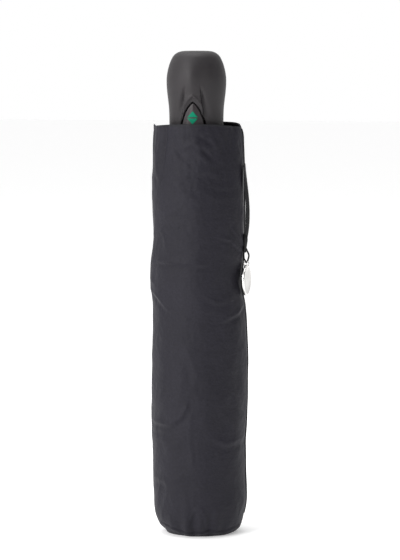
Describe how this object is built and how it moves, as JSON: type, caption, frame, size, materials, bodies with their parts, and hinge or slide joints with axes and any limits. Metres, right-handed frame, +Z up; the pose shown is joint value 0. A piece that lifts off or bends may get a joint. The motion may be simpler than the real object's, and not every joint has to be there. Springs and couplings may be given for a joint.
{
  "type": "folding umbrella",
  "caption": "Compact automatic folding umbrella in its cloth sleeve, with a rounded grip, a push button and a small disc charm on a side loop.",
  "frame": {"origin": "centre of the sleeve's flat base", "axes": "+Z up the shaft towards the handle, -Y towards the push button, +X towards the side loop"},
  "size_m": [0.0617, 0.0572, 0.293],
  "materials": {
    "sleeve_cloth": "matte",
    "binding_tape": "matte",
    "canopy_cloth": "satin",
    "soft_handle": "satin",
    "black_plastic": "matte",
    "green_print": "satin",
    "shaft_steel": "satin",
    "rib_metal": "satin",
    "charm_metal": "polished"
  },
  "bodies": {
    "sleeve_body": {"sleeve": "sleeve_cloth", "sleeve_binding": "binding_tape", "side_ribbon": "binding_tape", "charm_cord": "binding_tape"},
    "charm": {"charm_ring": "charm_metal", "charm_disc": "charm_metal"},
    "top_section": {"tip_cap": "black_plastic", "top_notch": "black_plastic", "upper_tube": "shaft_steel"},
    "middle_section": {"middle_tube": "shaft_steel"},
    "handle_section": {"handle_shell": "soft_handle", "handle_core": "black_plastic", "lower_tube": "shaft_steel", "opening_spring": "shaft_steel"},
    "push_button": {"button": "black_plastic", "button_arrows": "green_print"},
    "runner_body": {"runner": "black_plastic"},
    "inner_arm_1": {"inner_rib_1": "rib_metal"},
    "middle_arm_1": {"middle_rib_1": "rib_metal"},
    "outer_arm_1": {"outer_rib_1": "rib_metal"},
    "strut_1": {"stretcher_1": "rib_metal"},
    "inner_cloth_1": {"canopy_inner_1": "canopy_cloth"},
    "middle_cloth_1": {"canopy_middle_1": "canopy_cloth"},
    "outer_cloth_1": {"canopy_outer_1": "canopy_cloth", "tie_strap": "canopy_cloth"},
    "inner_arm_2": {"inner_rib_2": "rib_metal"},
    "middle_arm_2": {"middle_rib_2": "rib_metal"},
    "outer_arm_2": {"outer_rib_2": "rib_metal"},
    "strut_2": {"stretcher_2": "rib_metal"},
    "inner_cloth_2": {"canopy_inner_2": "canopy_cloth"},
    "middle_cloth_2": {"canopy_middle_2": "canopy_cloth"},
    "outer_cloth_2": {"canopy_outer_2": "canopy_cloth"},
    "inner_arm_3": {"inner_rib_3": "rib_metal"},
    "middle_arm_3": {"middle_rib_3": "rib_metal"},
    "outer_arm_3": {"outer_rib_3": "rib_metal"},
    "strut_3": {"stretcher_3": "rib_metal"},
    "inner_cloth_3": {"canopy_inner_3": "canopy_cloth"},
    "middle_cloth_3": {"canopy_middle_3": "canopy_cloth"},
    "outer_cloth_3": {"canopy_outer_3": "canopy_cloth"},
    "inner_arm_4": {"inner_rib_4": "rib_metal"},
    "middle_arm_4": {"middle_rib_4": "rib_metal"},
    "outer_arm_4": {"outer_rib_4": "rib_metal"},
    "strut_4": {"stretcher_4": "rib_metal"},
    "inner_cloth_4": {"canopy_inner_4": "canopy_cloth"},
    "middle_cloth_4": {"canopy_middle_4": "canopy_cloth"},
    "outer_cloth_4": {"canopy_outer_4": "canopy_cloth"},
    "inner_arm_5": {"inner_rib_5": "rib_metal"},
    "middle_arm_5": {"middle_rib_5": "rib_metal"},
    "outer_arm_5": {"outer_rib_5": "rib_metal"},
    "strut_5": {"stretcher_5": "rib_metal"},
    "inner_cloth_5": {"canopy_inner_5": "canopy_cloth"},
    "middle_cloth_5": {"canopy_middle_5": "canopy_cloth"},
    "outer_cloth_5": {"canopy_outer_5": "canopy_cloth"},
    "inner_arm_6": {"inner_rib_6": "rib_metal"},
    "middle_arm_6": {"middle_rib_6": "rib_metal"},
    "outer_arm_6": {"outer_rib_6": "rib_metal"},
    "strut_6": {"stretcher_6": "rib_metal"},
    "inner_cloth_6": {"canopy_inner_6": "canopy_cloth"},
    "middle_cloth_6": {"canopy_middle_6": "canopy_cloth"},
    "outer_cloth_6": {"canopy_outer_6": "canopy_cloth"}
  },
  "joints": [
    {"name": "charm_swing", "type": "hinge", "parent": "sleeve_body", "child": "charm", "pos_m": [0.03103, -0.00326, 0.16475], "axis": [-0.1045, -0.9945, 0], "range_deg": [0, 60]},
    {"name": "draw_out", "type": "slide", "parent": "sleeve_body", "child": "top_section", "axis": [0, 0, 1], "range_m": [0, 0.3]},
    {"name": "shaft_middle_extend", "type": "slide", "parent": "top_section", "child": "middle_section", "axis": [0, 0, 1], "range_m": [0, 0.172]},
    {"name": "umbrella_open", "type": "slide", "parent": "middle_section", "child": "handle_section", "axis": [0, 0, 1], "range_m": [0, 0.172], "deforming": ["sleeve", "sleeve_binding", "side_ribbon", "charm_cord", "opening_spring", "tie_strap", "canopy_inner_1", "canopy_inner_2", "canopy_inner_3", "canopy_inner_4", "canopy_inner_5", "canopy_inner_6", "canopy_middle_1", "canopy_middle_2", "canopy_middle_3", "canopy_middle_4", "canopy_middle_5", "canopy_middle_6", "canopy_outer_1", "canopy_outer_2", "canopy_outer_3", "canopy_outer_4", "canopy_outer_5", "canopy_outer_6", "charm_ring", "charm_disc"]},
    {"name": "button_press", "type": "slide", "parent": "handle_section", "child": "push_button", "axis": [0, 1, 0], "range_m": [0, 0.0015], "stiffness_N_per_m": 400, "springref_m": -0.001},
    {"name": "runner_slide", "type": "slide", "parent": "top_section", "child": "runner_body", "axis": [0, 0, -1], "range_m": [0, 0.11332]},
    {"name": "inner_rib_fold_1", "type": "hinge", "parent": "top_section", "child": "inner_arm_1", "pos_m": [0.0122, 0, 0.014], "axis": [0, 1, 0], "range_deg": [0, 80]},
    {"name": "middle_rib_fold_1", "type": "hinge", "parent": "inner_arm_1", "child": "middle_arm_1", "pos_m": [0.0147, 0, 0.198], "axis": [0, -1, 0], "range_deg": [0, 190]},
    {"name": "outer_rib_fold_1", "type": "hinge", "parent": "middle_arm_1", "child": "outer_arm_1", "pos_m": [0.0187, 0, 0.02], "axis": [0, 1, 0], "range_deg": [0, 168]},
    {"name": "stretcher_swing_1", "type": "hinge", "parent": "runner_body", "child": "strut_1", "pos_m": [0.0122, -0.0034, 0.206], "axis": [0, -1, 0], "range_deg": [0, 53.03]},
    {"name": "inner_cloth_spread_1", "type": "slide", "parent": "inner_arm_1", "child": "inner_cloth_1", "axis": [-0.0868, 0.866, -0.4924], "range_m": [0, 0.18084]},
    {"name": "middle_cloth_spread_1", "type": "slide", "parent": "middle_arm_1", "child": "middle_cloth_1", "axis": [0.171, 0.866, 0.4698], "range_m": [0, 0.35004]},
    {"name": "outer_cloth_spread_1", "type": "slide", "parent": "outer_arm_1", "child": "outer_cloth_1", "axis": [-0.265, 0.866, -0.424], "range_m": [0, 0.49609]},
    {"name": "inner_rib_fold_2", "type": "hinge", "parent": "top_section", "child": "inner_arm_2", "pos_m": [0.0061, 0.01057, 0.014], "axis": [-0.866, 0.5, 0], "range_deg": [0, 80]},
    {"name": "middle_rib_fold_2", "type": "hinge", "parent": "inner_arm_2", "child": "middle_arm_2", "pos_m": [0.00735, 0.01273, 0.198], "axis": [0.866, -0.5, 0], "range_deg": [0, 190]},
    {"name": "outer_rib_fold_2", "type": "hinge", "parent": "middle_arm_2", "child": "outer_arm_2", "pos_m": [0.00935, 0.01619, 0.02], "axis": [-0.866, 0.5, 0], "range_deg": [0, 168]},
    {"name": "stretcher_swing_2", "type": "hinge", "parent": "runner_body", "child": "strut_2", "pos_m": [0.00904, 0.00887, 0.206], "axis": [0.866, -0.5, 0], "range_deg": [0, 53.03]},
    {"name": "inner_cloth_spread_2", "type": "slide", "parent": "inner_arm_2", "child": "inner_cloth_2", "axis": [-0.7934, 0.3578, -0.4924], "range_m": [0, 0.18084]},
    {"name": "middle_cloth_spread_2", "type": "slide", "parent": "middle_arm_2", "child": "middle_cloth_2", "axis": [-0.6645, 0.5811, 0.4698], "range_m": [0, 0.35004]},
    {"name": "outer_cloth_spread_2", "type": "slide", "parent": "outer_arm_2", "child": "outer_cloth_2", "axis": [-0.8825, 0.2036, -0.424], "range_m": [0, 0.49609]},
    {"name": "inner_rib_fold_3", "type": "hinge", "parent": "top_section", "child": "inner_arm_3", "pos_m": [-0.0061, 0.01057, 0.014], "axis": [-0.866, -0.5, 0], "range_deg": [0, 80]},
    {"name": "middle_rib_fold_3", "type": "hinge", "parent": "inner_arm_3", "child": "middle_arm_3", "pos_m": [-0.00735, 0.01273, 0.198], "axis": [0.866, 0.5, 0], "range_deg": [0, 190]},
    {"name": "outer_rib_fold_3", "type": "hinge", "parent": "middle_arm_3", "child": "outer_arm_3", "pos_m": [-0.00935, 0.01619, 0.02], "axis": [-0.866, -0.5, 0], "range_deg": [0, 168]},
    {"name": "stretcher_swing_3", "type": "hinge", "parent": "runner_body", "child": "strut_3", "pos_m": [-0.00316, 0.01227, 0.206], "axis": [0.866, 0.5, 0], "range_deg": [0, 53.03]},
    {"name": "inner_cloth_spread_3", "type": "slide", "parent": "inner_arm_3", "child": "inner_cloth_3", "axis": [-0.7066, -0.5082, -0.4924], "range_m": [0, 0.18084]},
    {"name": "middle_cloth_spread_3", "type": "slide", "parent": "middle_arm_3", "child": "middle_cloth_3", "axis": [-0.8355, -0.2849, 0.4698], "range_m": [0, 0.35004]},
    {"name": "outer_cloth_spread_3", "type": "slide", "parent": "outer_arm_3", "child": "outer_cloth_3", "axis": [-0.6175, -0.6625, -0.424], "range_m": [0, 0.49609]},
    {"name": "inner_rib_fold_4", "type": "hinge", "parent": "top_section", "child": "inner_arm_4", "pos_m": [-0.0122, 0, 0.014], "axis": [0, -1, 0], "range_deg": [0, 80]},
    {"name": "middle_rib_fold_4", "type": "hinge", "parent": "inner_arm_4", "child": "middle_arm_4", "pos_m": [-0.0147, 0, 0.198], "axis": [0, 1, 0], "range_deg": [0, 190]},
    {"name": "outer_rib_fold_4", "type": "hinge", "parent": "middle_arm_4", "child": "outer_arm_4", "pos_m": [-0.0187, 0, 0.02], "axis": [0, -1, 0], "range_deg": [0, 168]},
    {"name": "stretcher_swing_4", "type": "hinge", "parent": "runner_body", "child": "strut_4", "pos_m": [-0.0122, 0.0034, 0.206], "axis": [0, 1, 0], "range_deg": [0, 53.03]},
    {"name": "inner_cloth_spread_4", "type": "slide", "parent": "inner_arm_4", "child": "inner_cloth_4", "axis": [0.0868, -0.866, -0.4924], "range_m": [0, 0.18084]},
    {"name": "middle_cloth_spread_4", "type": "slide", "parent": "middle_arm_4", "child": "middle_cloth_4", "axis": [-0.171, -0.866, 0.4698], "range_m": [0, 0.35004]},
    {"name": "outer_cloth_spread_4", "type": "slide", "parent": "outer_arm_4", "child": "outer_cloth_4", "axis": [0.265, -0.866, -0.424], "range_m": [0, 0.49609]},
    {"name": "inner_rib_fold_5", "type": "hinge", "parent": "top_section", "child": "inner_arm_5", "pos_m": [-0.0061, -0.01057, 0.014], "axis": [0.866, -0.5, 0], "range_deg": [0, 80]},
    {"name": "middle_rib_fold_5", "type": "hinge", "parent": "inner_arm_5", "child": "middle_arm_5", "pos_m": [-0.00735, -0.01273, 0.198], "axis": [-0.866, 0.5, 0], "range_deg": [0, 190]},
    {"name": "outer_rib_fold_5", "type": "hinge", "parent": "middle_arm_5", "child": "outer_arm_5", "pos_m": [-0.00935, -0.01619, 0.02], "axis": [0.866, -0.5, 0], "range_deg": [0, 168]},
    {"name": "stretcher_swing_5", "type": "hinge", "parent": "runner_body", "child": "strut_5", "pos_m": [-0.00904, -0.00887, 0.206], "axis": [-0.866, 0.5, 0], "range_deg": [0, 53.03]},
    {"name": "inner_cloth_spread_5", "type": "slide", "parent": "inner_arm_5", "child": "inner_cloth_5", "axis": [0.7934, -0.3578, -0.4924], "range_m": [0, 0.18084]},
    {"name": "middle_cloth_spread_5", "type": "slide", "parent": "middle_arm_5", "child": "middle_cloth_5", "axis": [0.6645, -0.5811, 0.4698], "range_m": [0, 0.35004]},
    {"name": "outer_cloth_spread_5", "type": "slide", "parent": "outer_arm_5", "child": "outer_cloth_5", "axis": [0.8825, -0.2036, -0.424], "range_m": [0, 0.49609]},
    {"name": "inner_rib_fold_6", "type": "hinge", "parent": "top_section", "child": "inner_arm_6", "pos_m": [0.0061, -0.01057, 0.014], "axis": [0.866, 0.5, 0], "range_deg": [0, 80]},
    {"name": "middle_rib_fold_6", "type": "hinge", "parent": "inner_arm_6", "child": "middle_arm_6", "pos_m": [0.00735, -0.01273, 0.198], "axis": [-0.866, -0.5, 0], "range_deg": [0, 190]},
    {"name": "outer_rib_fold_6", "type": "hinge", "parent": "middle_arm_6", "child": "outer_arm_6", "pos_m": [0.00935, -0.01619, 0.02], "axis": [0.866, 0.5, 0], "range_deg": [0, 168]},
    {"name": "stretcher_swing_6", "type": "hinge", "parent": "runner_body", "child": "strut_6", "pos_m": [0.00316, -0.01227, 0.206], "axis": [-0.866, -0.5, 0], "range_deg": [0, 53.03]},
    {"name": "inner_cloth_spread_6", "type": "slide", "parent": "inner_arm_6", "child": "inner_cloth_6", "axis": [0.7066, 0.5082, -0.4924], "range_m": [0, 0.18084]},
    {"name": "middle_cloth_spread_6", "type": "slide", "parent": "middle_arm_6", "child": "middle_cloth_6", "axis": [0.8355, 0.2849, 0.4698], "range_m": [0, 0.35004]},
    {"name": "outer_cloth_spread_6", "type": "slide", "parent": "outer_arm_6", "child": "outer_cloth_6", "axis": [0.6175, 0.6625, -0.424], "range_m": [0, 0.49609]}
  ],
  "couplings": [
    {"joint": "shaft_middle_extend", "follows": "umbrella_open", "ratio": 1},
    {"joint": "runner_slide", "follows": "umbrella_open", "ratio": 0.65886},
    {"joint": "inner_rib_fold_1", "follows": "umbrella_open", "rad_per_m": 8.1178},
    {"joint": "middle_rib_fold_1", "follows": "umbrella_open", "rad_per_m": 19.28},
    {"joint": "outer_rib_fold_1", "follows": "umbrella_open", "rad_per_m": 17.047},
    {"joint": "stretcher_swing_1", "follows": "umbrella_open", "rad_per_m": 5.3815},
    {"joint": "inner_cloth_spread_1", "follows": "umbrella_open", "ratio": 1.0514},
    {"joint": "middle_cloth_spread_1", "follows": "umbrella_open", "ratio": 2.0351},
    {"joint": "outer_cloth_spread_1", "follows": "umbrella_open", "ratio": 2.8843},
    {"joint": "inner_rib_fold_2", "follows": "umbrella_open", "rad_per_m": 8.1178},
    {"joint": "middle_rib_fold_2", "follows": "umbrella_open", "rad_per_m": 19.28},
    {"joint": "outer_rib_fold_2", "follows": "umbrella_open", "rad_per_m": 17.047},
    {"joint": "stretcher_swing_2", "follows": "umbrella_open", "rad_per_m": 5.3815},
    {"joint": "inner_cloth_spread_2", "follows": "umbrella_open", "ratio": 1.0514},
    {"joint": "middle_cloth_spread_2", "follows": "umbrella_open", "ratio": 2.0351},
    {"joint": "outer_cloth_spread_2", "follows": "umbrella_open", "ratio": 2.8843},
    {"joint": "inner_rib_fold_3", "follows": "umbrella_open", "rad_per_m": 8.1178},
    {"joint": "middle_rib_fold_3", "follows": "umbrella_open", "rad_per_m": 19.28},
    {"joint": "outer_rib_fold_3", "follows": "umbrella_open", "rad_per_m": 17.047},
    {"joint": "stretcher_swing_3", "follows": "umbrella_open", "rad_per_m": 5.3815},
    {"joint": "inner_cloth_spread_3", "follows": "umbrella_open", "ratio": 1.0514},
    {"joint": "middle_cloth_spread_3", "follows": "umbrella_open", "ratio": 2.0351},
    {"joint": "outer_cloth_spread_3", "follows": "umbrella_open", "ratio": 2.8843},
    {"joint": "inner_rib_fold_4", "follows": "umbrella_open", "rad_per_m": 8.1178},
    {"joint": "middle_rib_fold_4", "follows": "umbrella_open", "rad_per_m": 19.28},
    {"joint": "outer_rib_fold_4", "follows": "umbrella_open", "rad_per_m": 17.047},
    {"joint": "stretcher_swing_4", "follows": "umbrella_open", "rad_per_m": 5.3815},
    {"joint": "inner_cloth_spread_4", "follows": "umbrella_open", "ratio": 1.0514},
    {"joint": "middle_cloth_spread_4", "follows": "umbrella_open", "ratio": 2.0351},
    {"joint": "outer_cloth_spread_4", "follows": "umbrella_open", "ratio": 2.8843},
    {"joint": "inner_rib_fold_5", "follows": "umbrella_open", "rad_per_m": 8.1178},
    {"joint": "middle_rib_fold_5", "follows": "umbrella_open", "rad_per_m": 19.28},
    {"joint": "outer_rib_fold_5", "follows": "umbrella_open", "rad_per_m": 17.047},
    {"joint": "stretcher_swing_5", "follows": "umbrella_open", "rad_per_m": 5.3815},
    {"joint": "inner_cloth_spread_5", "follows": "umbrella_open", "ratio": 1.0514},
    {"joint": "middle_cloth_spread_5", "follows": "umbrella_open", "ratio": 2.0351},
    {"joint": "outer_cloth_spread_5", "follows": "umbrella_open", "ratio": 2.8843},
    {"joint": "inner_rib_fold_6", "follows": "umbrella_open", "rad_per_m": 8.1178},
    {"joint": "middle_rib_fold_6", "follows": "umbrella_open", "rad_per_m": 19.28},
    {"joint": "outer_rib_fold_6", "follows": "umbrella_open", "rad_per_m": 17.047},
    {"joint": "stretcher_swing_6", "follows": "umbrella_open", "rad_per_m": 5.3815},
    {"joint": "inner_cloth_spread_6", "follows": "umbrella_open", "ratio": 1.0514},
    {"joint": "middle_cloth_spread_6", "follows": "umbrella_open", "ratio": 2.0351},
    {"joint": "outer_cloth_spread_6", "follows": "umbrella_open", "ratio": 2.8843}
  ]
}
